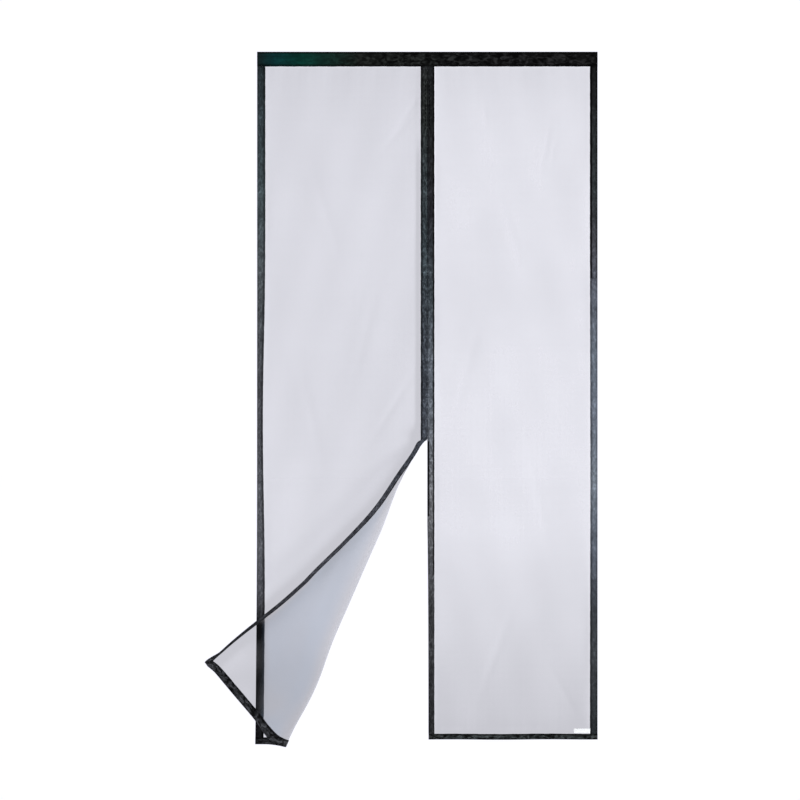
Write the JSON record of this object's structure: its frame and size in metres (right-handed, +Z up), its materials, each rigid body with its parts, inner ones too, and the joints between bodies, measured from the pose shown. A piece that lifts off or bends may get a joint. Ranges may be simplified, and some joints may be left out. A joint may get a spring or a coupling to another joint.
{
  "type": "magnetic insect screen",
  "caption": "Tall two-panel mesh door screen with dark taped edges and magnetic centre hems, hung from its header band, one lower corner folded back over the front.",
  "frame": {"origin": "middle of the flat back face of the header's hook strip, which sits on the door frame's head", "axes": "+X to the viewer's right along the header, +Y into the door frame behind the header, +Z up; the screen hangs below the origin and faces -Y"},
  "size_m": [1.1427, 0.1878, 2.0212],
  "materials": {
    "net": "fine see-through knitted polyester net, soft sheen",
    "tape": "near-black woven tape, matte",
    "slate_tape": "slate-grey woven tape, matte with a soft sheen",
    "hook": "black hook strip, matte",
    "magnet": "plain plated magnet",
    "label": "blank white satin ribbon"
  },
  "bodies": {
    "root": {"header_band": "tape", "header_hook_strip": "hook", "left_net": "net", "left_edge_tape": "slate_tape", "left_inner_hem": "tape", "left_bottom_hem": "tape", "left_hook_strip": "hook", "left_magnet_1": "magnet", "left_magnet_2": "magnet", "left_magnet_3": "magnet", "left_magnet_4": "magnet", "left_magnet_5": "magnet", "left_magnet_6": "magnet", "left_magnet_7": "magnet", "right_net": "net", "right_edge_tape_upper": "tape", "right_edge_tape_lower": "slate_tape", "right_inner_hem": "tape", "right_bottom_hem": "tape", "right_hook_strip": "hook", "right_magnet_1": "magnet", "right_magnet_2": "magnet", "right_magnet_3": "magnet", "right_magnet_4": "magnet", "right_magnet_5": "magnet", "right_magnet_6": "magnet", "right_magnet_7": "magnet", "care_label": "label"}
  },
  "joints": []
}
